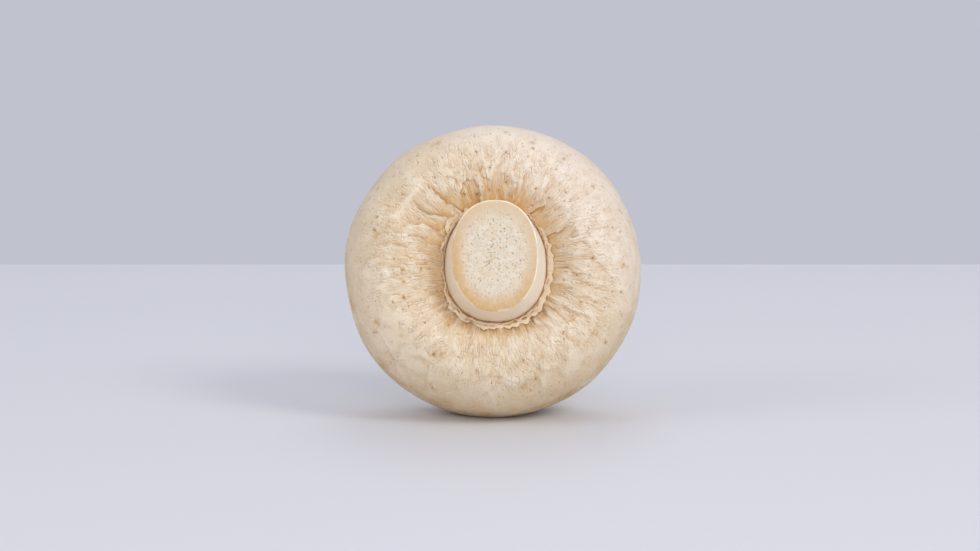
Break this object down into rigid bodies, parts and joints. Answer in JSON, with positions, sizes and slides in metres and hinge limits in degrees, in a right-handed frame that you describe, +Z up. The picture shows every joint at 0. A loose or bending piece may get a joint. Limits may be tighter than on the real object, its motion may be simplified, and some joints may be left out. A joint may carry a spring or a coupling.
{
  "type": "button mushroom",
  "caption": "Button mushroom with a cream, wrinkled cap lying on its edge, its trimmed stem end and torn veil showing.",
  "frame": {"origin": "middle of the small flat spot on the cap's edge that the mushroom rests on", "axes": "+Z up, -Y the way the cut stem points (11.5 degrees above level), +X to the right when looking at the cut stem"},
  "size_m": [0.05, 0.0343, 0.0486],
  "materials": {
    "cap_skin": "cream mushroom skin, dull with a faint sheen",
    "stem_flesh": "cream mushroom flesh, matt",
    "veil_skin": "tan torn mushroom skin, matt"
  },
  "bodies": {
    "root": {"cap": "cap_skin", "stem": "stem_flesh", "veil_ring": "veil_skin"}
  },
  "joints": []
}
